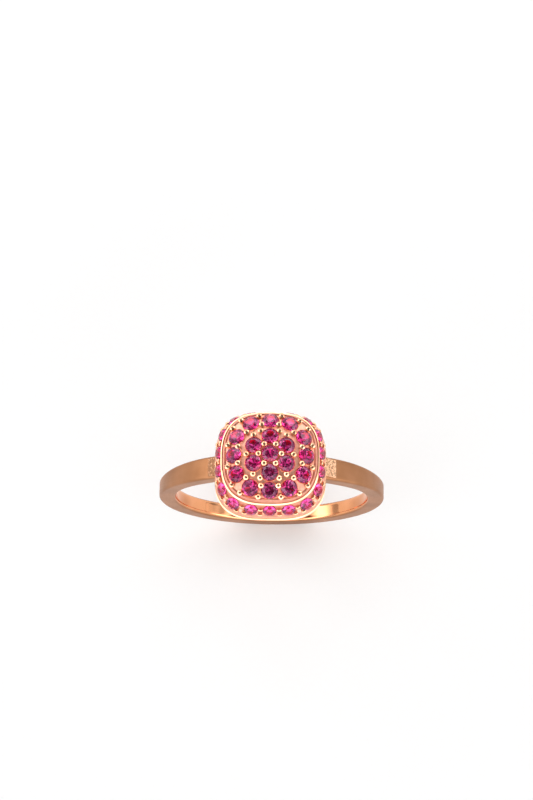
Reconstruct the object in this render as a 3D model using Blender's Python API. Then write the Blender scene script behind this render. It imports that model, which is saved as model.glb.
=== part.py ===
"""Cocktail ring: a slim gold shank carrying a cushion-shaped head set all over with round red stones.

The origin is the centre of the finger bore. The finger lies along Y, +Z points up to the head and +X is
the wearer's right. Sizes are in metres, written as millimetres times MM.
"""
from math import cos, pi, radians, sin, sqrt, tau

import bmesh
import bpy
from mathutils import Matrix, Vector

MM = 0.001

# Shank: a band round the finger, wide at its shoulders and slim from the sides down
BORE_RADIUS = 8.65 * MM
BAND_THICKNESS = 1.53 * MM
SHOULDER_WIDTH = 2.02 * MM
BAND_WIDTH = 1.44 * MM
OUTER_EDGE_RADIUS = 0.24 * MM
INNER_EDGE_RADIUS = 0.30 * MM
TAPER_START = radians(30)
TAPER_END = radians(88)
BAND_STEPS = 72
EDGE_STEPS = 2

# Head: cushion outlines, as superellipses, at the rim of the top plate and at the foot of the head.
# Half widths are along X. The depths are the lengths along the finger as shares of those along X, and
# the foot sits a little further forward than the rim.
RIM_HALF_WIDTH = 4.21 * MM
RIM_POWER = 2.70
RIM_DEPTH = 0.970
FOOT_HALF_WIDTH = 4.85 * MM
FOOT_POWER = 3.20
FOOT_DEPTH = 0.960
FOOT_FORWARD = 0.20 * MM
OUTLINE_STEPS = 48
GAP = 0.02 * MM

# Domed top plate
DOME_RADIUS = 7.85 * MM
DOME_CENTRE_Z = 5.95 * MM
PLATE_THICKNESS = 0.80 * MM
PLATE_SEAT_Z = 11.87 * MM
PLATE_LEDGE = 0.62 * MM
PLATE_SHARES = (0.30, 0.56, 0.78)
BEVEL_WIDTH = 0.18 * MM
BEVEL_FOOT_Z = 12.05 * MM

# Rim wire round the edge of the plate
RIM_WIRE_RADIUS = 0.10 * MM
RIM_WIRE_Z = 12.00 * MM

# Side wall under the rim: a sloping band for one row of stones
WALL_LIP_Z = 11.72 * MM
WALL_SLOPE_FOOT_Z = 10.65 * MM
WALL_SLOPE_SHARE = 0.80
WALL_FOOT_Z = 10.25 * MM
WALL_FOOT_SHARE = 0.95
WALL_THICKNESS = 0.72 * MM

# Base rail: the upright foot of the head
RAIL_FOOT_Z = 9.37 * MM
RAIL_LIP_HEIGHT = 0.16 * MM
RAIL_LIP_SHARE = 1.04
RAIL_THICKNESS = 0.70 * MM

# Brilliant-cut stones, as shares of the diameter
TABLE_SHARE = 0.56
CROWN_SHARE = 0.16
GIRDLE_SHARE = 0.03
PAVILION_SHARE = 0.43
CROWN_STAR_SHARE = 0.78
PAVILION_HALF_SHARE = 0.30
STONE_SINK = 0.03 * MM
STONE_TURN = radians(137.5)

# Stones of the top plate: one in the middle, a ring of 6, and 12 along the cushion outline
TOP_STONE = 1.44 * MM
INNER_RING = 1.65 * MM
OUTER_RING_FLAT = 3.17 * MM
OUTER_RING_CORNER = 3.38 * MM
RING_DEPTH = 0.985

# Stones of the side wall: one row, evenly spaced along the outline
SIDE_STONE = 1.18 * MM
SIDE_COUNT = 18
SIDE_SHARE = 0.48

# Seats and beads
SEAT_SIDES = 16
SEAT_HOLE_SHARE = 0.21
SEAT_DEPTH = 1.15 * MM
SEAT_HEADROOM = 1.0 * MM
BEAD_RADIUS = 0.21 * MM
BEAD_SINK = 0.02 * MM
SIDE_BEAD = (0.25 * MM, 0.19 * MM, 0.18 * MM)
SIDE_BEAD_OFFSET = 0.40 * MM

# Solder joining the head to the shoulders
SOLDER_HALF_WIDTH = 0.80 * MM
SOLDER_INNER_X = 4.30 * MM
SOLDER_OUTER_X = {"left": 5.50 * MM, "right": 5.75 * MM}
SOLDER_EDGE = 0.05 * MM
SOLDER_STEPS = 8

ROSE_GOLD = (0.80, 0.46, 0.28)
RUBY = (0.62, 0.01, 0.16)


def clear_scene():
    """Remove every object that the file opens with."""
    for item in list(bpy.data.objects):
        bpy.data.objects.remove(item, do_unlink=True)


def new_collection(name):
    """Make a collection under the scene's own."""
    collection = bpy.data.collections.new(name)
    bpy.context.scene.collection.children.link(collection)
    return collection


def new_material(name, colour, roughness, metallic):
    """Make a Principled material of one colour."""
    material = bpy.data.materials.new(name)
    material.use_nodes = True
    shader = material.node_tree.nodes["Principled BSDF"]
    shader.inputs["Base Color"].default_value = (*colour, 1.0)
    shader.inputs["Roughness"].default_value = roughness
    shader.inputs["Metallic"].default_value = metallic
    material.diffuse_color = (*colour, 1.0)
    return material


def add_object(name, data, collection, material=None):
    """Link an object for this mesh or curve into a collection."""
    item = bpy.data.objects.new(name, data)
    collection.objects.link(item)
    if material and not data.materials:
        data.materials.append(material)
    return item


def add_cutter(name, mesh, collection):
    """Link a tool body that is only used by a Boolean."""
    cutter = add_object(name, mesh, collection)
    cutter.hide_render = True
    cutter.display_type = "WIRE"
    return cutter


def add_boolean(item, tool, operation):
    """Join a tool body to an object, or cut it away."""
    modifier = item.modifiers.new(tool.name, "BOOLEAN")
    modifier.operation = operation
    modifier.solver = "EXACT"
    modifier.object = tool


def finish_mesh(name, form, smooth_angle=None):
    """Turn a bmesh into a mesh with outward faces, shaded smooth below an angle."""
    bmesh.ops.recalc_face_normals(form, faces=form.faces)
    mesh = bpy.data.meshes.new(name)
    form.to_mesh(mesh)
    form.free()
    if smooth_angle:
        mesh.shade_smooth()
        mesh.set_sharp_from_angle(angle=smooth_angle)
    return mesh


def bridge(form, ring_a, ring_b):
    """Join two rings of as many vertices with quads."""
    count = len(ring_a)
    for i in range(count):
        j = (i + 1) % count
        form.faces.new((ring_a[i], ring_a[j], ring_b[j], ring_b[i]))


def loft(name, rings, smooth_angle, poles=None):
    """Loft a body through rings of points: round to the first ring again, or closed by two pole points."""
    form = bmesh.new()
    built = [[form.verts.new(point) for point in ring] for ring in rings]
    for ring_a, ring_b in zip(built, built[1:]):
        bridge(form, ring_a, ring_b)
    if poles:
        for ring, point in ((built[0], poles[0]), (built[-1], poles[1])):
            pole = form.verts.new(point)
            for i, vertex in enumerate(ring):
                form.faces.new((vertex, ring[(i + 1) % len(ring)], pole))
    else:
        bridge(form, built[-1], built[0])
    return finish_mesh(name, form, smooth_angle)


def band_width(angle):
    """Width of the shank at an angle from the head: full at the shoulder, easing down to the slim band."""
    share = (abs(angle) - TAPER_START) / (TAPER_END - TAPER_START)
    share = min(max(share, 0.0), 1.0)
    ease = share * share * (3 - 2 * share)
    return SHOULDER_WIDTH + (BAND_WIDTH - SHOULDER_WIDTH) * ease


def band_section(width):
    """Section of the shank as (radius, y) points: a rectangle with rounded edges."""
    outer = BORE_RADIUS + BAND_THICKNESS
    corners = (
        (outer, 1, OUTER_EDGE_RADIUS, 0),
        (outer, -1, OUTER_EDGE_RADIUS, -90),
        (BORE_RADIUS, -1, INNER_EDGE_RADIUS, 180),
        (BORE_RADIUS, 1, INNER_EDGE_RADIUS, 90),
    )
    points = []
    for radius, side, edge, start in corners:
        inward = -edge if radius == outer else edge
        centre = Vector((radius + inward, side * (width / 2 - edge)))
        steps = range(EDGE_STEPS + 1)
        turns = [start + 90 - 90 * step / EDGE_STEPS for step in steps]
        for turn in turns:
            points.append(centre + edge * Vector((cos(radians(turn)), sin(radians(turn)))))
    return points


def make_shank(parts, gold):
    """The band: its section swept round the bore, closed on itself under the head."""
    rings = []
    for step in range(BAND_STEPS):
        angle = tau * (step + 0.5) / BAND_STEPS - pi
        section = band_section(band_width(angle))
        rings.append([(r * sin(angle), y, r * cos(angle)) for r, y in section])
    mesh = loft("shank", rings, radians(40))
    return add_object("shank", mesh, parts, gold)


def cushion_point(angle, share, z, inset=0.0, scale=1.0):
    """Point on the head's outline at one height: share 0 is the rim and share 1 the foot."""
    radii = []
    for half_width, power in ((RIM_HALF_WIDTH, RIM_POWER), (FOOT_HALF_WIDTH, FOOT_POWER)):
        spread = abs(cos(angle)) ** power + abs(sin(angle)) ** power
        radii.append(half_width / spread ** (1 / power))
    radius = (radii[0] + (radii[1] - radii[0]) * share - inset) * scale
    depth = RIM_DEPTH + (FOOT_DEPTH - RIM_DEPTH) * share
    return Vector((radius * cos(angle), radius * sin(angle) * depth - FOOT_FORWARD * share, z))


def cushion_ring(share, z, inset=0.0, scale=1.0):
    """One ring of points on the cushion outline, at one height."""
    angles = [tau * step / OUTLINE_STEPS for step in range(OUTLINE_STEPS)]
    return [cushion_point(angle, share, z, inset, scale) for angle in angles]


def drop_to_dome(ring, radius):
    """Move a ring's points up or down onto a sphere round the dome's centre."""
    for point in ring:
        point.z = DOME_CENTRE_Z + sqrt(radius**2 - point.x**2 - point.y**2)
    return ring


def brilliant(name, diameter):
    """A round brilliant, girdle at the origin and table up: the convex hull of its facet corners."""
    radius = diameter / 2
    girdle = diameter * GIRDLE_SHARE / 2
    crown = diameter * CROWN_SHARE
    table = radius * TABLE_SHARE
    star = radius * CROWN_STAR_SHARE
    half = radius * PAVILION_HALF_SHARE
    flank = cos(radians(22.5))
    star_z = girdle + crown * (radius - star * flank) / (radius - table)
    depth = diameter * PAVILION_SHARE
    half_z = -girdle - depth * (radius - half * flank) / radius
    corner_rings = (
        (8, 0.0, table, girdle + crown),
        (8, 22.5, star, star_z),
        (16, 0.0, radius, girdle),
        (16, 0.0, radius, -girdle),
        (8, 22.5, half, half_z),
    )
    form = bmesh.new()
    form.verts.new((0, 0, -girdle - depth))
    for count, start, ring_radius, z in corner_rings:
        for step in range(count):
            angle = radians(start) + tau * step / count
            form.verts.new((ring_radius * cos(angle), ring_radius * sin(angle), z))
    bmesh.ops.convex_hull(form, input=form.verts)
    return finish_mesh(name, form)


def seat_profile(diameter):
    """Half outline of the space that a seat leaves round its stone, as (radius, height) points."""
    radius = diameter / 2
    girdle = diameter * GIRDLE_SHARE / 2 + GAP
    table = radius * TABLE_SHARE + GAP
    crown = girdle + diameter * CROWN_SHARE
    hole = diameter * SEAT_HOLE_SHARE
    cone_foot = -girdle - diameter * PAVILION_SHARE * (1 - hole / radius) - GAP
    return (
        (0.0, SEAT_HEADROOM),
        (table, SEAT_HEADROOM),
        (table, crown),
        (radius + GAP, girdle),
        (radius + GAP, -girdle),
        (hole, cone_foot),
        (hole, -SEAT_DEPTH),
        (0.0, -SEAT_DEPTH),
    )


def turned(name, profile, sides):
    """Spin a half outline round Z into a closed body."""
    form = bmesh.new()
    points = [form.verts.new((radius, 0, z)) for radius, z in profile]
    edges = [form.edges.new(pair) for pair in zip(points, points[1:])]
    bmesh.ops.spin(
        form, geom=points + edges, axis=(0, 0, 1), cent=(0, 0, 0), steps=sides, angle=tau
    )
    bmesh.ops.remove_doubles(form, verts=form.verts, dist=GAP / 20)
    return finish_mesh(name, form)


def gathered(name, shape, places):
    """One mesh holding a copy of a shape at each place."""
    form = bmesh.new()
    for place in places:
        copy = shape.copy()
        copy.transform(place)
        form.from_mesh(copy)
        bpy.data.meshes.remove(copy)
    return finish_mesh(name, form)


def set_on(point, normal, turn=0.0):
    """Place that puts local Z on a normal at a point, turned about it."""
    up = normal.normalized()
    along = Vector((0, 0, 1)).cross(up)
    along = along.normalized() if along.length > 1e-6 else Vector((1, 0, 0))
    across = up.cross(along)
    turned_frame = Matrix((along, across, up)).transposed().to_4x4() @ Matrix.Rotation(turn, 4, "Z")
    return Matrix.Translation(point) @ turned_frame


def on_dome(radius, angle, sink, turn=0.0):
    """Place on the dome's surface at a distance from the head's axis, sunk along the normal."""
    flat = Vector((radius * cos(angle), radius * sin(angle) * RING_DEPTH, 0))
    normal = Vector((flat.x, flat.y, sqrt(DOME_RADIUS**2 - flat.length_squared))) / DOME_RADIUS
    centre = Vector((0, 0, DOME_CENTRE_Z))
    return set_on(centre + normal * (DOME_RADIUS - sink), normal, turn)


def wall_point(angle, share):
    """Point on the sloping outside of the side wall."""
    z = WALL_LIP_Z + (WALL_SLOPE_FOOT_Z - WALL_LIP_Z) * share / WALL_SLOPE_SHARE
    return cushion_point(angle, share, z)


def on_wall(angle, share, sink, climb=0.0, turn=0.0):
    """Place on the side wall, moved up its slope by climb and sunk along the normal."""
    step = 1e-3
    point = wall_point(angle, share)
    along = wall_point(angle + step, share) - point
    upward = (wall_point(angle, share - step) - point).normalized()
    normal = along.cross(upward).normalized()
    return set_on(point + upward * climb - normal * sink, normal, turn)


def spaced_angles(count, share):
    """Angles of points that divide the outline into equal lengths, starting at the front."""
    samples = 1440
    angles = [-pi / 2 + tau * i / samples for i in range(samples + 1)]
    points = [cushion_point(angle, share, 0) for angle in angles]
    lengths = [0.0]
    for start, end in zip(points, points[1:]):
        lengths.append(lengths[-1] + (end - start).length)
    found = []
    for step in range(count):
        target = lengths[-1] * step / count
        index = next(i for i, length in enumerate(lengths) if length >= target)
        found.append(angles[index])
    return found


def top_stone_places():
    """Centre, inner ring of 6, outer ring of 12 that bulges to the cushion's corners."""
    spots = [(0.0, 0.0)]
    spots += [(INNER_RING, radians(90 - 60 * i)) for i in range(6)]
    for i in range(12):
        radius = OUTER_RING_CORNER if i % 3 else OUTER_RING_FLAT
        spots.append((radius, radians(90 - 30 * i)))
    return [on_dome(r, a, STONE_SINK, STONE_TURN * i) for i, (r, a) in enumerate(spots)]


def bead_places():
    """Beads of the top plate, in the pockets between three stones and along the rim."""
    spots = [(1.00, 60 * i) for i in range(6)]
    spots += [(2.05, 0), (2.05, 180)]
    for pocket in (60, 120, 240, 300):
        spots += [(2.29, pocket - 9), (2.29, pocket + 9)]
    for middle in range(15, 360, 30):
        corner = middle % 90 == 45
        spots.append((2.90 if corner else 2.88, middle))
        if corner:
            spots += [(4.17, middle - 7), (4.17, middle + 7)]
        else:
            spots.append((3.80, middle))
    return [on_dome(r * MM, radians(a), BEAD_SINK) for r, a in spots]


def side_bead_places(angles):
    """Two beads between each pair of side stones, one above the other."""
    places = []
    for i, angle in enumerate(angles):
        following = angles[(i + 1) % len(angles)] + (tau if i + 1 == len(angles) else 0)
        middle = (angle + following) / 2
        for climb in (SIDE_BEAD_OFFSET, -SIDE_BEAD_OFFSET):
            places.append(on_wall(middle, SIDE_SHARE, 0.0, climb))
    return places


def ball(name, radius):
    """A low sphere for a bead."""
    form = bmesh.new()
    bmesh.ops.create_uvsphere(form, u_segments=8, v_segments=4, radius=radius)
    return finish_mesh(name, form)


def cut_seats(item, stone_places, diameter, beads, cutters):
    """Raise the beads on a plate or wall and cut one seat per stone."""
    bead_tool = add_cutter(item.name + "_beads", beads, cutters)
    seat = turned(item.name + "_seat", seat_profile(diameter), SEAT_SIDES)
    seats = gathered(item.name + "_seats", seat, stone_places)
    seat_tool = add_cutter(item.name + "_seats", seats, cutters)
    add_boolean(item, bead_tool, "UNION")
    add_boolean(item, seat_tool, "DIFFERENCE")


def make_plate(parts, cutters, gold, stone_places):
    """The domed top plate, bevelled round its edge and flat under it where it sits on the wall."""
    inner_radius = DOME_RADIUS - PLATE_THICKNESS
    edge = RIM_WIRE_RADIUS + GAP
    rings = [drop_to_dome(cushion_ring(0, 0, scale=s), DOME_RADIUS) for s in PLATE_SHARES]
    rings.append(drop_to_dome(cushion_ring(0, 0, BEVEL_WIDTH), DOME_RADIUS))
    rings.append(cushion_ring(0, BEVEL_FOOT_Z, edge))
    rings.append(cushion_ring(0, PLATE_SEAT_Z, edge))
    rings.append(cushion_ring(0, PLATE_SEAT_Z, PLATE_LEDGE))
    for scale in reversed(PLATE_SHARES):
        rings.append(drop_to_dome(cushion_ring(0, 0, scale=scale), inner_radius))
    poles = ((0, 0, DOME_CENTRE_Z + DOME_RADIUS), (0, 0, DOME_CENTRE_Z + inner_radius))
    plate = add_object("pave_plate", loft("pave_plate", rings, radians(30), poles), parts, gold)
    beads = gathered("beads", ball("bead", BEAD_RADIUS), bead_places())
    cut_seats(plate, stone_places, TOP_STONE, beads, cutters)


def make_rim(parts, gold):
    """The round wire along the edge of the plate."""
    curve = bpy.data.curves.new("rim_wire", "CURVE")
    curve.dimensions = "3D"
    curve.bevel_depth = RIM_WIRE_RADIUS
    curve.bevel_resolution = 1
    curve.use_fill_caps = True
    ring = cushion_ring(0, RIM_WIRE_Z)
    spline = curve.splines.new("POLY")
    spline.points.add(len(ring) - 1)
    for point, spot in zip(spline.points, ring):
        point.co = (*spot, 1)
    spline.use_cyclic_u = True
    add_object("rim_wire", curve, parts, gold)


def make_wall(parts, cutters, gold, stone_places, angles):
    """The side wall: an upright lip, the sloping seat band and a short foot, hollow inside."""
    top = PLATE_SEAT_Z - GAP
    rings = [
        cushion_ring(0, top),
        cushion_ring(0, WALL_LIP_Z),
        cushion_ring(WALL_SLOPE_SHARE, WALL_SLOPE_FOOT_Z),
        cushion_ring(WALL_FOOT_SHARE, WALL_FOOT_Z),
        cushion_ring(WALL_FOOT_SHARE, WALL_FOOT_Z, WALL_THICKNESS),
        cushion_ring(WALL_SLOPE_SHARE / 2, (top + WALL_FOOT_Z) / 2, WALL_THICKNESS),
        cushion_ring(0, top, PLATE_LEDGE),
    ]
    wall = add_object("side_wall", loft("side_wall", rings, radians(30)), parts, gold)
    bead = ball("side_bead", 1.0)
    bead.transform(Matrix.Diagonal((*SIDE_BEAD, 1)))
    beads = gathered("side_beads", bead, side_bead_places(angles))
    cut_seats(wall, stone_places, SIDE_STONE, beads, cutters)


def make_rail(parts, gold):
    """The upright foot of the head, with a thin lip round its lower edge."""
    top = WALL_FOOT_Z - GAP
    lip_top = RAIL_FOOT_Z + RAIL_LIP_HEIGHT
    rings = [
        cushion_ring(WALL_FOOT_SHARE, top),
        cushion_ring(1, (top + lip_top) / 2),
        cushion_ring(1, lip_top),
        cushion_ring(RAIL_LIP_SHARE, lip_top - RAIL_LIP_HEIGHT / 4),
        cushion_ring(RAIL_LIP_SHARE, RAIL_FOOT_Z + RAIL_LIP_HEIGHT / 4),
        cushion_ring(1, RAIL_FOOT_Z),
        cushion_ring(1, RAIL_FOOT_Z, RAIL_THICKNESS),
        cushion_ring(WALL_FOOT_SHARE, top, RAIL_THICKNESS),
    ]
    add_object("base_rail", loft("base_rail", rings, radians(30)), parts, gold)


def make_solder(parts, gold):
    """A pad of solder on each shoulder, wedged between the band and the base rail."""
    band_top = BORE_RADIUS + BAND_THICKNESS + GAP
    for name, side in (("left", -1), ("right", 1)):
        outer_x = SOLDER_OUTER_X[name]
        span = outer_x - SOLDER_INNER_X
        xs = [SOLDER_INNER_X + span * i / SOLDER_STEPS for i in range(SOLDER_STEPS + 1)]
        under = [Vector((side * x, 0, sqrt(band_top**2 - x**2))) for x in xs]
        face = RAIL_FOOT_Z - GAP
        over = []
        for x in reversed(xs):
            low = sqrt(band_top**2 - x**2) + SOLDER_EDGE
            rise = min((outer_x - x) / (outer_x - FOOT_HALF_WIDTH), 1.0)
            over.append(Vector((side * x, 0, low + (face - low) * rise**2)))
        outline = under + over
        form = bmesh.new()
        front = [form.verts.new(p - Vector((0, SOLDER_HALF_WIDTH, 0))) for p in outline]
        back = [form.verts.new(p + Vector((0, SOLDER_HALF_WIDTH, 0))) for p in outline]
        bridge(form, front, back)
        form.faces.new(front)
        form.faces.new(back)
        mesh = finish_mesh("solder_" + name, form, radians(30))
        add_object("solder_" + name, mesh, parts, gold)


def make_stones(parts, prefix, mesh, places, ruby):
    """One object per stone, all sharing one cut."""
    for number, place in enumerate(places, 1):
        stone = add_object(f"{prefix}_{number:02d}", mesh, parts, ruby)
        stone.matrix_world = place


def main():
    clear_scene()
    parts = new_collection("cocktail_ring")
    cutters = new_collection("cutters")
    cutters.hide_render = True
    gold = new_material("rose_gold", ROSE_GOLD, 0.2, 1.0)
    satin = new_material("satin_rose_gold", ROSE_GOLD, 0.4, 1.0)
    ruby = new_material("ruby", RUBY, 0.05, 0.0)
    top_places = top_stone_places()
    side_angles = spaced_angles(SIDE_COUNT, SIDE_SHARE)
    side_places = [
        on_wall(angle, SIDE_SHARE, STONE_SINK, turn=STONE_TURN * i)
        for i, angle in enumerate(side_angles)
    ]
    make_shank(parts, satin)
    make_solder(parts, gold)
    make_plate(parts, cutters, gold, top_places)
    make_rim(parts, gold)
    make_wall(parts, cutters, gold, side_places, side_angles)
    make_rail(parts, gold)
    make_stones(parts, "top_stone", brilliant("top_stone", TOP_STONE), top_places, ruby)
    make_stones(parts, "side_stone", brilliant("side_stone", SIDE_STONE), side_places, ruby)


main()
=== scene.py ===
"""Looks of the cocktail ring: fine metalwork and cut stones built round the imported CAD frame."""
from math import cos, pi, radians, sin, sqrt, tau

import bmesh
import bpy
import numpy as np
from mathutils import Matrix, Vector


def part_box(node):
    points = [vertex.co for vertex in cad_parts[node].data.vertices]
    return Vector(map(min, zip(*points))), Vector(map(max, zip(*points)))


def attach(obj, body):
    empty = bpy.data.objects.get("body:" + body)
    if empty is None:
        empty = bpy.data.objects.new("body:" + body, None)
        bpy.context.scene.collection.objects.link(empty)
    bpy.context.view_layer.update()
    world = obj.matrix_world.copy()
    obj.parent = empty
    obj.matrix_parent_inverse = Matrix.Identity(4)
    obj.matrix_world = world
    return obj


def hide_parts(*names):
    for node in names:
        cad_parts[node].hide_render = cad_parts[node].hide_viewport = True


MM = 0.001

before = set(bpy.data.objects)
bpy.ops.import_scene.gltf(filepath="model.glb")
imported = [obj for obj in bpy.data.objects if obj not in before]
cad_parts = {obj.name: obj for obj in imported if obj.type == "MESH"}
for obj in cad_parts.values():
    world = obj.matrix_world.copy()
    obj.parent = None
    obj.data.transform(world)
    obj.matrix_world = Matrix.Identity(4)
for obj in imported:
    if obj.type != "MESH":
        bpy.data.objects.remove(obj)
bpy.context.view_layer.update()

# Sizes read from the frame
SHANK_LOW, SHANK_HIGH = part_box("shank")
RIM_LOW, RIM_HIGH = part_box("rim_wire")
RAIL_LOW, RAIL_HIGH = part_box("base_rail")
WALL_LOW, WALL_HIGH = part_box("side_wall")
PLATE_LOW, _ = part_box("pave_plate")
TOP_STONES = sorted(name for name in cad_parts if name.startswith("top_stone"))
SIDE_STONES = sorted(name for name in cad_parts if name.startswith("side_stone"))

# Shank
BAND_THICKNESS = 1.53 * MM
OUTER_RADIUS = -SHANK_LOW.z
BORE_RADIUS = OUTER_RADIUS - BAND_THICKNESS
SHOULDER_WIDTH = SHANK_HIGH.y - SHANK_LOW.y
BAND_WIDTH = 1.44 * MM
OUTER_EDGE_RADIUS = 0.22 * MM
INNER_EDGE_RADIUS = 0.30 * MM
TAPER_START = radians(30)
TAPER_END = radians(88)
BAND_STEPS = 384
EDGE_STEPS = 6
FLAT_STEPS = 6
BRUSH_STRETCH = 20

# Head outlines: superellipses at the rim (share 0) and at the foot (share 1)
LIP_SHARE = 1.04
RIM_WIRE_RADIUS = (RIM_HIGH.z - RIM_LOW.z) / 2
RIM_WIRE_Z = (RIM_HIGH.z + RIM_LOW.z) / 2
RIM_HALF_WIDTH = RIM_HIGH.x - RIM_WIRE_RADIUS
RIM_POWER = 2.70
RIM_DEPTH = (RIM_HIGH.y - RIM_WIRE_RADIUS) / RIM_HALF_WIDTH
FOOT_HALF_WIDTH = RIM_HALF_WIDTH + (RAIL_HIGH.x - RIM_HALF_WIDTH) / LIP_SHARE
FOOT_POWER = 3.20
FOOT_DEPTH = 0.960
FOOT_FORWARD = 0.20 * MM
OUTLINE_STEPS = 360
GAP = 0.02 * MM

# Top plate
DOME_RADIUS = 7.85 * MM
DOME_CENTRE_Z = 5.95 * MM
PLATE_THICKNESS = 0.80 * MM
PLATE_LEDGE = 0.62 * MM
PLATE_RINGS = 96
EDGE_CUTS = ((0.21, 0.00), (0.19, 0.05), (0.185, 0.20), (0.165, 0.22), (0.16, 0.36), (0.14, 0.38))
CHANNEL_DEPTH = 0.13 * MM
CHANNEL_SLOPE = 0.09 * MM
CHANNEL_RIM = 0.26 * MM
RING_DEPTH = 0.985
RING_SPREAD = 0.9
INNER_SCALES = (0.79, 0.6, 0.4, 0.2)

# Bead of the top plate as (radius, height) in mm: nearly flat top, sloping shoulder, upright side
BEAD_PROFILE = (
    (0.0, 0.20), (0.10, 0.197), (0.125, 0.185), (0.225, 0.115), (0.24, 0.07), (0.24, -0.34), (0.0, -0.34),
)
BEAD_SIDES = 20
BEAD_UPRIGHT = 3.0

# Distances of the top beads from the head's axis in mm, and angles in degrees
CENTRE_BEADS = 1.00
FLANK_BEADS = 2.05
POCKET_BEADS = 2.29
POCKET_REACH = 9
GAP_BEADS = 2.88
CORNER_GAP_BEADS = 2.90
EDGE_BEADS = 3.80
CORNER_EDGE_BEADS = 4.17
CORNER_REACH = 7

# Side wall
WALL_LIP_Z = WALL_HIGH.z - 0.13 * MM
WALL_SLOPE_FOOT_Z = WALL_LOW.z + 0.40 * MM
WALL_SLOPE_SHARE = 0.80
WALL_FOOT_SHARE = 0.95
WALL_THICKNESS = 0.72 * MM
WALL_CHANNEL = ((0.02, 0.0), (0.05, 0.07), (0.10, 0.10), (0.68, 0.10), (0.74, 0.06), (0.78, 0.0))
SIDE_SHARE = 0.48

# Side beads and slots: half sizes, how far a bead faces up, and shares down the slope
SIDE_BEAD = (0.26 * MM, 0.17 * MM, 0.15 * MM)
SLOT_SIZE = (0.19 * MM, 0.08 * MM, 0.16 * MM)
BEAD_LIFT = 0.55
HIGH_BEAD = 0.40
HIGH_SLOT = 0.55
LOW_BEAD = 0.80
LOW_SLOT = 0.69
LOW_BEAD_REACH = 0.21
CORNER_SPAN = radians(20)

# Rim strip, as shares of the wire's radius outward and up; the tilt makes it flatter at the back
RIM_SECTION = (
    (-0.90, 0.70), (-0.75, 0.98), (-0.55, 0.96), (0.80, 0.05), (0.92, -0.30), (0.70, -0.85), (-0.70, -0.85),
)
RIM_TILT = 0.25

# Base rail
RAIL_THICKNESS = 0.70 * MM
LIP_HEIGHT = 0.16 * MM
LIP_SLOPE = 0.085 * MM
RAIL_NECK = 0.88

# Seats, as shares of a stone's diameter
TABLE_SHARE = 0.56
CROWN_SHARE = 0.16
GIRDLE_SHARE = 0.03
PAVILION_SHARE = 0.43
SEAT_SIDES = 32
SEAT_HOLE_SHARE = 0.21
SEAT_DEPTH = 1.15 * MM
SEAT_HEADROOM = 1.0 * MM
OPEN_CLEARANCE = GAP * 1.35

# Colours
GOLD = (0.93, 0.48, 0.27, 1.0)
GOLD_PALE = (1.0, 0.60, 0.38, 1.0)
# Cut metal between the stones: redder than the gold, a painted reflection of the rubies' red light
CUT_DEEP = (0.92, 0.40, 0.28, 1.0)
CUT_PALE = (1.0, 0.50, 0.36, 1.0)
SATIN = (0.46, 0.215, 0.105, 1.0)
SATIN_DEEP = (0.37, 0.165, 0.074, 1.0)
BORE = (0.97, 0.46, 0.23, 1.0)
BORE_DEEP = (0.86, 0.37, 0.17, 1.0)
# Pale colour painted on the solder as a highlight
SOLDER_HIGHLIGHT = (1.0, 0.66, 0.42, 1.0)
RUBY_DEEP = (0.96, 0.010, 0.21, 1.0)
RUBY_PALE = (1.0, 0.11, 0.46, 1.0)
RUBY_SHINE = (1.0, 0.62, 0.80, 1.0)
FLOOR_GREY = (0.96, 0.96, 0.96, 1.0)
FLOOR_WHITE = (0.98, 0.98, 0.98, 1.0)

# How far the painted highlight covers each solder pad: pale flecks that stand in for glints off the rough
# solder, more of them on the right pad
SOLDER_HIGHLIGHT_COVER = {"solder_left": 0.05, "solder_right": 0.18}

# Light of the tent, as radiance, and the heights between which it changes, as sines of elevation
HORIZON_LIGHT = 0.45
WALL_LIGHT = 3.00
CEILING_LIGHT = 0.05
CEILING_PATCH = 0.72
WALL_BOTTOM = (0.14, 0.34)
WALL_TOP = (0.50, 0.66)
PATCH_SIZE = 1 / 3.2
PATCH_EDGE = (0.50, 0.62)

# Grey flag that dims the walls behind on the right
FLAG_DIRECTION = (0.905, 0.27, 0.32)
FLAG_EDGE = (0.955, 0.985)
FLAG_LIGHT = 0.20

# Camera, as distance and angles round the bore's centre
CAMERA_DISTANCE = 250 * MM
CAMERA_ELEVATION = radians(74.28)
CAMERA_AZIMUTH = radians(1.63)
CAMERA_ROLL = radians(-0.94)
RING_LEAN = radians(0.43)
CAMERA_LENS = 123.9
SENSOR = 36.0
AIM_RIGHT = 0.46 * MM
AIM_UP = -8.33 * MM


# ---------------------------------------------------------------- materials
def add_node(tree, kind, values=None, **settings):
    """Add a shader node, set its properties, then its inputs by name or number."""
    node = tree.nodes.new(kind)
    for key, value in settings.items():
        setattr(node, key, value)
    for key, value in (values or {}).items():
        if isinstance(value, bpy.types.NodeSocket):
            tree.links.new(value, node.inputs[key])
        else:
            node.inputs[key].default_value = value
    return node


def new_material(name):
    """A material with an empty Principled shader; returns the material, its tree and the shader."""
    material = bpy.data.materials.new(name)
    material.use_nodes = True
    tree = material.node_tree
    return material, tree, tree.nodes["Principled BSDF"]


def noise(tree, vector, size, detail=2.0, roughness=0.5):
    """Noise whose features are about size metres across."""
    values = {"Vector": vector, "Scale": 1 / size, "Detail": detail, "Roughness": roughness}
    return add_node(tree, "ShaderNodeTexNoise", values).outputs["Fac"]


def remap(tree, value, low, high, to_low, to_high):
    """Map a value's range onto another."""
    values = {"Value": value, "From Min": low, "From Max": high, "To Min": to_low, "To Max": to_high}
    return add_node(tree, "ShaderNodeMapRange", values).outputs["Result"]


def blend_colours(tree, factor, first, second):
    """Mix two colours."""
    node = add_node(tree, "ShaderNodeMix", data_type="RGBA")
    for socket, value in ((node.inputs[0], factor), (node.inputs[6], first), (node.inputs[7], second)):
        if isinstance(value, bpy.types.NodeSocket):
            tree.links.new(value, socket)
        else:
            socket.default_value = value
    return node.outputs[2]


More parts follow.
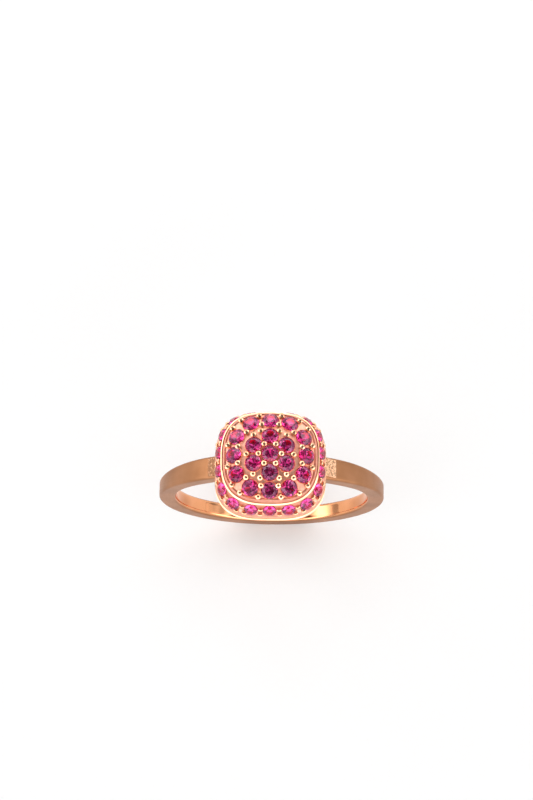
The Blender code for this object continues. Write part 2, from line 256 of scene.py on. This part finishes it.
def maths(tree, operation, *inputs):
    """One Math node."""
    node = add_node(tree, "ShaderNodeMath", operation=operation)
    for socket, value in zip(node.inputs, inputs):
        if isinstance(value, bpy.types.NodeSocket):
            tree.links.new(value, socket)
        else:
            socket.default_value = value
    return node.outputs[0]


def bump(tree, height, depth, strength=1.0):
    """Bump of a depth in metres."""
    values = {"Height": height, "Distance": depth, "Strength": strength}
    return add_node(tree, "ShaderNodeBump", values).outputs["Normal"]


def mottled(tree, factor, deep, pale):
    """Two shades of one colour, mixed by a noise."""
    return blend_colours(tree, remap(tree, factor, 0.35, 0.65, 0.0, 1.0), deep, pale)


def polished_gold():
    """Polished rose gold: slow tone drift, faint buffing marks."""
    material, tree, shader = new_material("polished_rose_gold")
    place = add_node(tree, "ShaderNodeTexCoord").outputs["Object"]
    tone = noise(tree, place, 1.6 * MM)
    marks = noise(tree, place, 0.05 * MM, 3.0, 0.6)
    tree.links.new(mottled(tree, tone, GOLD, GOLD_PALE), shader.inputs["Base Color"])
    tree.links.new(remap(tree, marks, 0.3, 0.7, 0.04, 0.12), shader.inputs["Roughness"])
    tree.links.new(bump(tree, marks, 0.001 * MM), shader.inputs["Normal"])
    shader.inputs["Metallic"].default_value = 1.0
    return material


def cut_gold_ruby_reflection():
    """Metal left by the graver between stones: softer, with fine tool marks; its redder colour is a painted
    reflection of red light from the rubies.
    """
    material, tree, shader = new_material("cut_rose_gold_ruby_reflection")
    place = add_node(tree, "ShaderNodeTexCoord").outputs["Object"]
    tone = noise(tree, place, 0.5 * MM)
    marks = noise(tree, place, 0.07 * MM, 3.0, 0.6)
    tree.links.new(mottled(tree, tone, CUT_DEEP, CUT_PALE), shader.inputs["Base Color"])
    tree.links.new(remap(tree, marks, 0.3, 0.7, 0.34, 0.50), shader.inputs["Roughness"])
    tree.links.new(bump(tree, marks, 0.012 * MM), shader.inputs["Normal"])
    shader.inputs["Metallic"].default_value = 1.0
    return material


def round_the_band(tree, place):
    """Distance from the bore's axis, and a place drawn out round the band for brush lines."""
    split = add_node(tree, "ShaderNodeSeparateXYZ", {"Vector": place}).outputs
    squares = [maths(tree, "MULTIPLY", split[axis], split[axis]) for axis in "XZ"]
    radius = maths(tree, "SQRT", maths(tree, "ADD", *squares))
    turn = maths(tree, "ARCTAN2", split["X"], split["Z"])
    along = maths(tree, "MULTIPLY", turn, OUTER_RADIUS / BRUSH_STRETCH)
    brushed = add_node(tree, "ShaderNodeCombineXYZ", {"X": along, "Y": split["Y"], "Z": radius})
    return radius, brushed.outputs[0]


def satin_gold():
    """The band: brushed satin outside, polished in the bore, with brush lines along the band."""
    material, tree, shader = new_material("satin_rose_gold")
    place = add_node(tree, "ShaderNodeTexCoord").outputs["Object"]
    radius, brushed = round_the_band(tree, place)
    lines = noise(tree, brushed, 0.045 * MM, 3.0, 0.65)
    grain = noise(tree, place, 0.06 * MM, 2.0)
    tone = noise(tree, place, 2.5 * MM)
    outside = remap(tree, radius, BORE_RADIUS + 0.03 * MM, BORE_RADIUS + 0.14 * MM, 0.0, 1.0)
    inner = mottled(tree, tone, BORE_DEEP, BORE)
    outer = mottled(tree, tone, SATIN_DEEP, SATIN)
    tree.links.new(blend_colours(tree, outside, inner, outer), shader.inputs["Base Color"])
    satin = remap(tree, lines, 0.3, 0.7, 0.34, 0.48)
    mirror = remap(tree, grain, 0.3, 0.7, 0.05, 0.12)
    mixed = add_node(tree, "ShaderNodeMix", {0: outside, 2: mirror, 3: satin}, data_type="FLOAT").outputs[0]
    tree.links.new(mixed, shader.inputs["Roughness"])
    brush_relief = maths(tree, "MULTIPLY", lines, outside)
    relief = maths(tree, "ADD", brush_relief, maths(tree, "MULTIPLY", grain, 0.12))
    tree.links.new(bump(tree, relief, 0.006 * MM), shader.inputs["Normal"])
    shader.inputs["Metallic"].default_value = 1.0
    return material


def solder_gold(name, highlight_cover):
    """Solder left rough and pitted, with pale painted highlights over part of the satin metal, more of them
    as highlight_cover rises.
    """
    material, tree, shader = new_material(name)
    place = add_node(tree, "ShaderNodeTexCoord").outputs["Object"]
    lumps = noise(tree, place, 0.17 * MM, 4.0, 0.7)
    pits = noise(tree, place, 0.06 * MM, 2.0, 0.6)
    # Painted highlight: a pale mask over the satin metal that stands in for glints
    painted_highlight = remap(tree, lumps, 0.56 - highlight_cover, 0.64 - highlight_cover, 0.0, 1.0)
    tone = blend_colours(tree, remap(tree, pits, 0.40, 0.60, 0.0, 1.0), GOLD, SOLDER_HIGHLIGHT)
    tree.links.new(blend_colours(tree, painted_highlight, SATIN, tone), shader.inputs["Base Color"])
    tree.links.new(remap(tree, painted_highlight, 0.0, 1.0, 0.42, 0.20), shader.inputs["Roughness"])
    relief = maths(tree, "ADD", painted_highlight, maths(tree, "MULTIPLY", pits, 0.8))
    tree.links.new(bump(tree, relief, 0.05 * MM), shader.inputs["Normal"])
    shader.inputs["Metallic"].default_value = 1.0
    return material


def ruby():
    """Cut ruby: clear and deep red, each stone a slightly different shade."""
    material, tree, shader = new_material("ruby")
    place = add_node(tree, "ShaderNodeTexCoord").outputs["Object"]
    shade = noise(tree, place, 1.1 * MM, 1.0)
    tree.links.new(mottled(tree, shade, RUBY_DEEP, RUBY_PALE), shader.inputs["Base Color"])
    veil = noise(tree, place, 0.12 * MM, 2.0)
    tree.links.new(remap(tree, veil, 0.4, 0.8, 0.0, 0.03), shader.inputs["Roughness"])
    shader.inputs["Transmission Weight"].default_value = 1.0
    shader.inputs["IOR"].default_value = 1.76
    shader.inputs["Specular Tint"].default_value = RUBY_SHINE
    shader.inputs["Specular IOR Level"].default_value = 0.5
    return material


def paper_white():
    """Plain pale floor with a faint tooth."""
    material, tree, shader = new_material("floor_white")
    place = add_node(tree, "ShaderNodeTexCoord").outputs["Object"]
    tooth = noise(tree, place, 0.4 * MM, 2.0)
    tree.links.new(blend_colours(tree, tooth, FLOOR_GREY, FLOOR_WHITE), shader.inputs["Base Color"])
    shader.inputs["Roughness"].default_value = 1.0
    shader.inputs["Specular IOR Level"].default_value = 0.0
    return material


# ---------------------------------------------------------------- mesh helpers
def finish_mesh(name, form, smooth_angle=None):
    """Turn a bmesh into a mesh with outward faces, shaded smooth below an angle."""
    bmesh.ops.recalc_face_normals(form, faces=form.faces)
    mesh = bpy.data.meshes.new(name)
    form.to_mesh(mesh)
    form.free()
    if smooth_angle:
        mesh.shade_smooth()
        mesh.set_sharp_from_angle(angle=smooth_angle)
    return mesh


def bridge(form, ring_a, ring_b):
    """Join two rings of as many vertices with quads."""
    count = len(ring_a)
    for i in range(count):
        j = (i + 1) % count
        form.faces.new((ring_a[i], ring_a[j], ring_b[j], ring_b[i]))


def loft(name, rings, smooth_angle, poles=None):
    """Loft a body through rings of points: round to the first ring again, or closed by two pole points."""
    form = bmesh.new()
    built = [[form.verts.new(point) for point in ring] for ring in rings]
    for ring_a, ring_b in zip(built, built[1:]):
        bridge(form, ring_a, ring_b)
    if poles:
        for ring, point in ((built[0], poles[0]), (built[-1], poles[1])):
            pole = form.verts.new(point)
            for i, vertex in enumerate(ring):
                form.faces.new((vertex, ring[(i + 1) % len(ring)], pole))
    else:
        bridge(form, built[-1], built[0])
    return finish_mesh(name, form, smooth_angle)


def show(name, mesh, material, slot, *nodes):
    """Place a finished piece, with its material, in the stead of CAD nodes."""
    piece = bpy.data.objects.new(name, mesh)
    bpy.context.scene.collection.objects.link(piece)
    if not mesh.materials:
        mesh.materials.append(material)
    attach(piece, "root")
    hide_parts(*nodes)
    return piece


def boolean(body, tool, operation):
    """Join a mesh to another, or cut it away; both meshes are used up."""
    objects = [bpy.data.objects.new("work", mesh) for mesh in (body, tool)]
    for item in objects:
        bpy.context.scene.collection.objects.link(item)
    modifier = objects[0].modifiers.new("cut", "BOOLEAN")
    modifier.operation = operation
    modifier.solver = "MANIFOLD"
    modifier.object = objects[1]
    evaluated = objects[0].evaluated_get(bpy.context.evaluated_depsgraph_get())
    result = bpy.data.meshes.new_from_object(evaluated)
    for item in objects:
        mesh = item.data
        bpy.data.objects.remove(item)
        bpy.data.meshes.remove(mesh)
    return result


def turned(name, profile, sides):
    """Spin a half outline round Z into a closed body."""
    form = bmesh.new()
    points = [form.verts.new((radius, 0, z)) for radius, z in profile]
    edges = [form.edges.new(pair) for pair in zip(points, points[1:])]
    bmesh.ops.spin(form, geom=points + edges, axis=(0, 0, 1), cent=(0, 0, 0), steps=sides, angle=tau)
    bmesh.ops.remove_doubles(form, verts=form.verts, dist=GAP / 20)
    return finish_mesh(name, form)


def gathered(name, shape, places):
    """One mesh holding a copy of a shape at each place."""
    form = bmesh.new()
    for place in places:
        copy = shape.copy()
        copy.transform(place)
        form.from_mesh(copy)
        bpy.data.meshes.remove(copy)
    return finish_mesh(name, form)


def ball(name, across, up):
    """A bead's round body."""
    form = bmesh.new()
    bmesh.ops.create_uvsphere(form, u_segments=across, v_segments=up, radius=1.0)
    return finish_mesh(name, form)


# ---------------------------------------------------------------- shank
def ease(share):
    """Smooth step from 0 to 1."""
    return share * share * (3 - 2 * share)


def band_width(angle):
    """Width of the shank at an angle from the head."""
    share = (abs(angle) - TAPER_START) / (TAPER_END - TAPER_START)
    return SHOULDER_WIDTH + (BAND_WIDTH - SHOULDER_WIDTH) * ease(min(max(share, 0.0), 1.0))


def band_section(width):
    """Section of the shank as (radius, y) points: flats and rounded edges."""
    corners = (
        (OUTER_RADIUS, 1, OUTER_EDGE_RADIUS, 0),
        (OUTER_RADIUS, -1, OUTER_EDGE_RADIUS, -90),
        (BORE_RADIUS, -1, INNER_EDGE_RADIUS, 180),
        (BORE_RADIUS, 1, INNER_EDGE_RADIUS, 90),
    )
    arcs = []
    for radius, side, edge, start in corners:
        inward = -edge if radius == OUTER_RADIUS else edge
        centre = Vector((radius + inward, side * (width / 2 - edge)))
        turns = [radians(start + 90 - 90 * step / EDGE_STEPS) for step in range(EDGE_STEPS + 1)]
        arcs.append([centre + edge * Vector((cos(turn), sin(turn))) for turn in turns])
    points = []
    for arc, following in zip(arcs, arcs[1:] + arcs[:1]):
        points += arc
        for step in range(1, FLAT_STEPS):
            points.append(arc[-1].lerp(following[0], step / FLAT_STEPS))
    return points


def make_shank(material):
    """The band swept round the bore."""
    rings = []
    for step in range(BAND_STEPS):
        angle = tau * (step + 0.5) / BAND_STEPS - pi
        section = band_section(band_width(angle))
        rings.append([(r * sin(angle), y, r * cos(angle)) for r, y in section])
    show("shank_band", loft("shank_band", rings, radians(50)), material, "satin_rose_gold", "shank")


# ---------------------------------------------------------------- head outlines
def cushion_point(angle, share, z, inset=0.0, scale=1.0):
    """Point on the head's outline at one height: share 0 is the rim and share 1 the foot."""
    radii = []
    for half_width, power in ((RIM_HALF_WIDTH, RIM_POWER), (FOOT_HALF_WIDTH, FOOT_POWER)):
        spread = abs(cos(angle)) ** power + abs(sin(angle)) ** power
        radii.append(half_width / spread ** (1 / power))
    radius = (radii[0] + (radii[1] - radii[0]) * share - inset) * scale
    depth = RIM_DEPTH + (FOOT_DEPTH - RIM_DEPTH) * share
    return Vector((radius * cos(angle), radius * sin(angle) * depth - FOOT_FORWARD * share, z))


def cushion_ring(share, z, inset=0.0, scale=1.0):
    """One ring of points on the cushion outline, at one height."""
    angles = [tau * step / OUTLINE_STEPS for step in range(OUTLINE_STEPS)]
    return [cushion_point(angle, share, z, inset, scale) for angle in angles]


def drop_to_dome(ring, radius, lower=0.0):
    """Move a ring's points onto a sphere round the dome's centre, then lower them."""
    for point in ring:
        point.z = DOME_CENTRE_Z + sqrt(radius**2 - point.x**2 - point.y**2) - lower
    return ring


# ---------------------------------------------------------------- seats and beads
def set_on(point, normal):
    """Place that puts local Z on a normal at a point."""
    up = normal.normalized()
    along = Vector((0, 0, 1)).cross(up)
    along = along.normalized() if along.length > 1e-6 else Vector((1, 0, 0))
    across = up.cross(along)
    return Matrix.Translation(point) @ Matrix((along, across, up)).transposed().to_4x4()


def stone_place(name):
    """Girdle centre, axis and diameter of a CAD stone, read from its mesh."""
    corners = np.array([vertex.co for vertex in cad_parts[name].data.vertices])
    corners = np.unique(np.round(corners, 8), axis=0)
    offsets = corners - corners.mean(0)
    values, vectors = np.linalg.eigh(offsets.T @ offsets)
    lone = 0 if values[1] - values[0] > values[2] - values[1] else 2
    axis = vectors[:, lone]
    heights = offsets @ axis
    spread = np.linalg.norm(offsets - np.outer(heights, axis), axis=1)
    girdle = spread > spread.max() * 0.97
    level = heights[girdle].mean()
    if level - heights.min() < heights.max() - level:
        axis, level = -axis, -level
    return Vector(corners.mean(0) + level * axis), Vector(axis), 2 * spread.max()


def seat_profile(diameter, open_top):
    """Half outline of the space round a stone: straight up from the girdle, or close to the crown."""
    clear = OPEN_CLEARANCE if open_top else GAP
    radius = diameter / 2 + clear
    girdle = diameter * GIRDLE_SHARE / 2 + clear
    table = diameter / 2 * TABLE_SHARE + clear
    crown = girdle + diameter * CROWN_SHARE
    hole = diameter * SEAT_HOLE_SHARE + clear
    cone_foot = -girdle - diameter * PAVILION_SHARE * (1 - 2 * SEAT_HOLE_SHARE) - GAP
    if open_top:
        top = [(0.0, SEAT_HEADROOM), (radius, SEAT_HEADROOM)]
    else:
        top = [(0.0, SEAT_HEADROOM), (table, SEAT_HEADROOM), (table, crown), (radius, girdle)]
    return top + [(radius, -girdle), (hole, cone_foot), (hole, -SEAT_DEPTH), (0.0, -SEAT_DEPTH)]


def cut_seats(body, beads, stones, metals):
    """Cut an open seat for each stone, then add the beads that hold the stones by their crowns."""
    places = [stone_place(name) for name in stones]
    joined = []
    for index, (mesh, open_top) in enumerate(((body, True), (beads, False))):
        mesh.materials.clear()
        for metal in metals:
            mesh.materials.append(metal)
        mesh.polygons.foreach_set("material_index", [index] * len(mesh.polygons))
        seat = turned("seat", seat_profile(places[0][2], open_top), SEAT_SIDES)
        seats = gathered("seats", seat, [set_on(middle, axis) for middle, axis, _ in places])
        joined.append(boolean(mesh, seats, "DIFFERENCE"))
    cut = boolean(*joined, "UNION")
    cut.shade_smooth()
    cut.set_sharp_from_angle(angle=radians(28))
    return cut


def on_dome(radius, angle):
    """Place on the dome at a distance from the head's axis, facing nearly straight up."""
    flat = Vector((radius * cos(angle), radius * sin(angle) * RING_DEPTH, 0))
    normal = Vector((flat.x, flat.y, sqrt(DOME_RADIUS**2 - flat.length_squared))) / DOME_RADIUS
    upright = normal + Vector((0, 0, BEAD_UPRIGHT))
    return set_on(Vector((0, 0, DOME_CENTRE_Z)) + normal * DOME_RADIUS, upright)


def bead_places():
    """Beads of the top plate, in the pockets between stones and along the rim."""
    spots = [(CENTRE_BEADS, angle) for angle in range(0, 360, 60)]
    spots += [(FLANK_BEADS, 0), (FLANK_BEADS, 180)]
    for pocket in (60, 120, 240, 300):
        spots += [(POCKET_BEADS, pocket + turn) for turn in (-POCKET_REACH, POCKET_REACH)]
    for middle in range(15, 360, 30):
        if middle % 90 == 45:
            spots.append((CORNER_GAP_BEADS, middle))
            spots += [(CORNER_EDGE_BEADS, middle + turn) for turn in (-CORNER_REACH, CORNER_REACH)]
        else:
            spots += [(GAP_BEADS, middle), (EDGE_BEADS, middle)]
    return [on_dome(r * MM, radians(a)) for r, a in spots]


def cut_channels(ring, centres, stone_radius):
    """Lower a ring's points where the metal is cut away between the stones, down to the channels' depth."""
    rim = [cushion_point(np.arctan2(p.y / RIM_DEPTH, p.x), 0, p.z) for p in ring]
    for point, edge in zip(ring, rim):
        clear = min((point - centre).length for centre in centres) - stone_radius
        ramp = min(max(clear / CHANNEL_SLOPE, 0.0), 1.0)
        inside = (edge - point).length - CHANNEL_RIM
        fade = min(max(inside / CHANNEL_SLOPE, 0.0), 1.0)
        normal = (point - Vector((0, 0, DOME_CENTRE_Z))).normalized()
        point -= normal * CHANNEL_DEPTH * ease(ramp) * ease(fade)
    return ring


def make_plate(metals):
    """The domed top plate: channels between the stones, then fine cuts down to the rim."""
    edge = RIM_WIRE_RADIUS + GAP
    places = [stone_place(name) for name in TOP_STONES]
    centres = [middle for middle, _, _ in places]
    rings = []
    for step in range(1, PLATE_RINGS + 1):
        scale = step / PLATE_RINGS
        flat = cushion_ring(0, 0, EDGE_CUTS[0][0] * MM * scale, scale**RING_SPREAD)
        rings.append(cut_channels(drop_to_dome(flat, DOME_RADIUS), centres, places[0][2] / 2))
    for inset, lower in EDGE_CUTS[1:]:
        rings.append(drop_to_dome(cushion_ring(0, 0, inset * MM), DOME_RADIUS, lower * MM))
    rings.append(cushion_ring(0, RIM_WIRE_Z + RIM_WIRE_RADIUS / 2, edge))
    rings.append(cushion_ring(0, PLATE_LOW.z, edge))
    rings.append(cushion_ring(0, PLATE_LOW.z, PLATE_LEDGE))
    inner_radius = DOME_RADIUS - PLATE_THICKNESS
    for scale in INNER_SCALES:
        rings.append(drop_to_dome(cushion_ring(0, 0, scale=scale), inner_radius))
    poles = ((0, 0, DOME_CENTRE_Z + DOME_RADIUS), (0, 0, DOME_CENTRE_Z + inner_radius))
    body = loft("plate", rings, radians(30), poles)
    bead = turned("bead", [(radius * MM, height * MM) for radius, height in BEAD_PROFILE], BEAD_SIDES)
    beads = gathered("beads", bead, bead_places())
    show("plate_fine", cut_seats(body, beads, TOP_STONES, metals), metals[0], "rose_gold", "pave_plate")


def make_rim(material):
    """The bright-cut edge on the rim wire: a strip that slopes outward all round."""
    radius = RIM_WIRE_RADIUS
    rings = []
    for out, up in RIM_SECTION:
        ring = cushion_ring(0, RIM_WIRE_Z + up * radius, -out * radius)
        for point in ring:
            facing = point.y / Vector(point[:2]).length
            point.z += RIM_TILT * radius * facing * max(out, 0.0)
        rings.append(ring)
    show("rim_line", loft("rim_line", rings, radians(30)), material, "rose_gold", "rim_wire")


def wall_point(angle, share):
    """Point on the sloping outside of the side wall."""
    z = WALL_LIP_Z + (WALL_SLOPE_FOOT_Z - WALL_LIP_Z) * share / WALL_SLOPE_SHARE
    return cushion_point(angle, share, z)


def on_wall(angle, share, level=0.0):
    """Place on the side wall, facing outward and raised by a level."""
    step = 1e-3
    point = wall_point(angle, share)
    along = wall_point(angle + step, share) - point
    outward = Vector((along.y, -along.x, 0)).normalized()
    return set_on(point, outward + Vector((0, 0, level)))


def side_bead_places():
    """Beads and slots between the side stones: one bead high up, and one or two below it."""
    angles = []
    for name in SIDE_STONES:
        middle, _, _ = stone_place(name)
        forward = middle.y + FOOT_FORWARD * SIDE_SHARE
        angles.append(np.arctan2(forward / RIM_DEPTH, middle.x) % tau)
    angles.sort()
    spots = []
    for angle, following in zip(angles, angles[1:] + [angles[0] + tau]):
        middle = (angle + following) / 2
        reach = (following - angle) * LOW_BEAD_REACH
        corner = abs(middle % (pi / 2) - pi / 4) < CORNER_SPAN
        spots.append((middle, HIGH_BEAD, HIGH_SLOT))
        for turn in (-reach, reach) if corner else (0.0,):
            spots.append((middle + turn, LOW_BEAD, LOW_SLOT))
    beads = [on_wall(angle, share, BEAD_LIFT) for angle, share, _ in spots]
    slots = [on_wall(angle, share) for angle, _, share in spots]
    return beads, slots


def block(name, size):
    """A plain block with half sizes along its axes."""
    form = bmesh.new()
    bmesh.ops.create_cube(form, size=2.0)
    mesh = finish_mesh(name, form)
    mesh.transform(Matrix.Diagonal((*size, 1)))
    return mesh


def make_wall(metals):
    """The sloping side wall: a shallow channel with thin bright edges, seats and beads."""
    top = WALL_HIGH.z
    foot = WALL_LOW.z
    drop = (WALL_SLOPE_FOOT_Z - WALL_LIP_Z) / WALL_SLOPE_SHARE
    rings = [cushion_ring(0, top), cushion_ring(0, WALL_LIP_Z)]
    for share, sunk in WALL_CHANNEL:
        rings.append(cushion_ring(share, WALL_LIP_Z + drop * share, sunk * MM))
    rings += [
        cushion_ring(WALL_SLOPE_SHARE, WALL_SLOPE_FOOT_Z),
        cushion_ring(WALL_FOOT_SHARE - 0.04, (WALL_SLOPE_FOOT_Z + foot) / 2),
        cushion_ring(WALL_FOOT_SHARE, foot),
        cushion_ring(WALL_FOOT_SHARE, foot, WALL_THICKNESS),
        cushion_ring(WALL_SLOPE_SHARE / 2, (top + foot) / 2, WALL_THICKNESS),
        cushion_ring(0, top, PLATE_LEDGE),
    ]
    body = loft("wall", rings, radians(25))
    bead_spots, slot_spots = side_bead_places()
    body = boolean(body, gathered("slots", block("slot", SLOT_SIZE), slot_spots), "DIFFERENCE")
    bead = ball("side_bead", 20, 12)
    bead.transform(Matrix.Diagonal((*SIDE_BEAD, 1)))
    beads = gathered("side_beads", bead, bead_spots)
    show("wall_fine", cut_seats(body, beads, SIDE_STONES, metals), metals[0], "rose_gold", "side_wall")


def make_rail(material):
    """The upright foot of the head, with a thin lip."""
    top, foot = RAIL_HIGH.z, RAIL_LOW.z
    lip_top = foot + LIP_HEIGHT
    rings = [
        cushion_ring(WALL_FOOT_SHARE - 0.01, top),
        cushion_ring(WALL_FOOT_SHARE, top - GAP),
        cushion_ring((WALL_FOOT_SHARE + RAIL_NECK) / 2, (top + lip_top) / 2),
        cushion_ring(RAIL_NECK, lip_top + LIP_SLOPE + GAP),
        cushion_ring(RAIL_NECK + 0.01, lip_top + LIP_SLOPE),
        cushion_ring(LIP_SHARE, lip_top),
        cushion_ring(LIP_SHARE, foot + LIP_HEIGHT / 4),
        cushion_ring(1, foot),
        cushion_ring(1, foot, RAIL_THICKNESS),
        cushion_ring(WALL_FOOT_SHARE, top, RAIL_THICKNESS),
    ]
    show("rail_fine", loft("rail_fine", rings, radians(35)), material, "rose_gold", "base_rail")


def dress(names, material):
    """Give CAD nodes that stay as they are a new material."""
    for name in names:
        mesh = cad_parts[name].data
        mesh.materials.clear()
        mesh.materials.append(material)


# ---------------------------------------------------------------- stage
def make_floor():
    """Large plain floor that the band stands on."""
    bpy.ops.mesh.primitive_plane_add(size=3.0, location=(0, 0, SHANK_LOW.z))
    floor = bpy.context.object
    floor.name = "floor"
    floor.data.materials.append(paper_white())


def light_studio():
    """White tent: bright walls with a grey flag, a dim horizon and a dark top with paler patches."""
    world = bpy.data.worlds.new("studio")
    bpy.context.scene.world = world
    world.use_nodes = True
    tree = world.node_tree
    direction = add_node(tree, "ShaderNodeTexCoord").outputs["Generated"]
    height = add_node(tree, "ShaderNodeSeparateXYZ", {"Vector": direction}).outputs["Z"]
    wall = remap(tree, height, *WALL_BOTTOM, HORIZON_LIGHT, WALL_LIGHT)
    roof = remap(tree, height, *WALL_TOP, 1.0, 0.0)
    patches = noise(tree, direction, PATCH_SIZE, 1.0)
    ceiling = remap(tree, patches, *PATCH_EDGE, CEILING_LIGHT, CEILING_PATCH)
    aim = add_node(tree, "ShaderNodeVectorMath", {0: direction, 1: FLAG_DIRECTION}, operation="DOT_PRODUCT")
    flag = remap(tree, aim.outputs["Value"], *FLAG_EDGE, 1.0, FLAG_LIGHT)
    panel = maths(tree, "MULTIPLY", maths(tree, "MULTIPLY", wall, roof), flag)
    light = maths(tree, "ADD", panel, ceiling)
    tree.links.new(light, tree.nodes["Background"].inputs["Strength"])
    tree.nodes["Background"].inputs["Color"].default_value = (1, 1, 1, 1)


def camera_axes():
    """The camera's right, up and back directions."""
    lean = Matrix.Rotation(RING_LEAN, 3, "Y")
    back = Vector((
        sin(CAMERA_AZIMUTH) * cos(CAMERA_ELEVATION),
        -cos(CAMERA_AZIMUTH) * cos(CAMERA_ELEVATION),
        sin(CAMERA_ELEVATION),
    ))
    right = Vector((cos(CAMERA_AZIMUTH), sin(CAMERA_AZIMUTH), 0))
    up = back.cross(right)
    right, up = (
        right * cos(CAMERA_ROLL) + up * sin(CAMERA_ROLL),
        up * cos(CAMERA_ROLL) - right * sin(CAMERA_ROLL),
    )
    return lean @ right, lean @ up, lean @ back


def place_camera():
    """Camera above the front of the ring, aimed so that the head sits as framed."""
    right, up, back = camera_axes()
    data = bpy.data.cameras.new("camera")
    data.lens = CAMERA_LENS
    data.sensor_width = SENSOR
    data.clip_start = 0.01
    camera = bpy.data.objects.new("camera", data)
    bpy.context.scene.collection.objects.link(camera)
    place = Matrix((right, up, back)).transposed().to_4x4()
    place.translation = back * CAMERA_DISTANCE - right * AIM_RIGHT - up * AIM_UP
    camera.matrix_world = place
    bpy.context.scene.camera = camera


def main():
    gold = polished_gold()
    metals = (cut_gold_ruby_reflection(), gold)
    make_shank(satin_gold())
    make_plate(metals)
    make_rim(gold)
    make_wall(metals)
    make_rail(gold)
    for name, highlight_cover in SOLDER_HIGHLIGHT_COVER.items():
        dress([name], solder_gold(name, highlight_cover))
    dress(TOP_STONES + SIDE_STONES, ruby())
    make_floor()
    light_studio()
    place_camera()
    bpy.context.scene.view_settings.view_transform = "Standard"


main()
